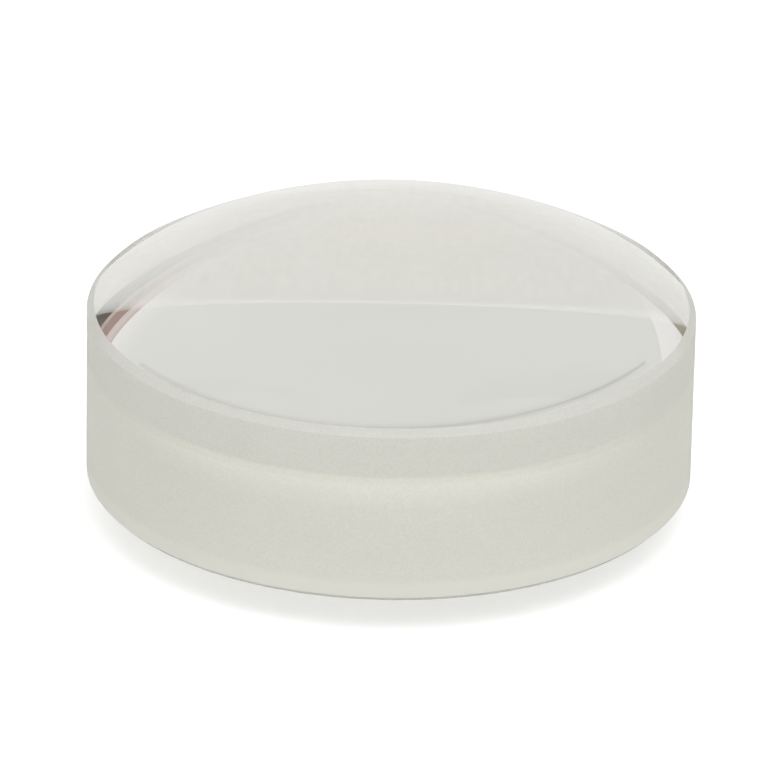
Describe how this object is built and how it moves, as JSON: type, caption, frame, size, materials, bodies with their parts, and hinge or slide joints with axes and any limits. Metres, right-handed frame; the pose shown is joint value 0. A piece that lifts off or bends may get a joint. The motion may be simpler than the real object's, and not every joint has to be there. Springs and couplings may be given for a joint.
{
  "type": "achromatic doublet lens",
  "caption": "Round cemented doublet lens: a domed positive crown element bonded to a negative flint element, with polished coated faces, a fine-ground edge and small rim bevels.",
  "frame": {"origin": "rear vertex of the lens: the middle of the flint element's outer face, where it touches a table", "axes": "+Z is the optical axis, from the flint element to the front vertex of the crown element; the lens is a solid of revolution, so X and Y are free"},
  "size_m": [0.0254, 0.0254, 0.0125],
  "materials": {
    "crown_glass": "polished and coated face, fine-ground edge and bevels",
    "flint_glass": "polished and coated face, fine-ground edge and bevels",
    "optical_cement": "clear cured optical cement"
  },
  "bodies": {
    "root": {"crown_element": "crown_glass", "cement_layer": "optical_cement", "flint_element": "flint_glass"}
  },
  "joints": []
}
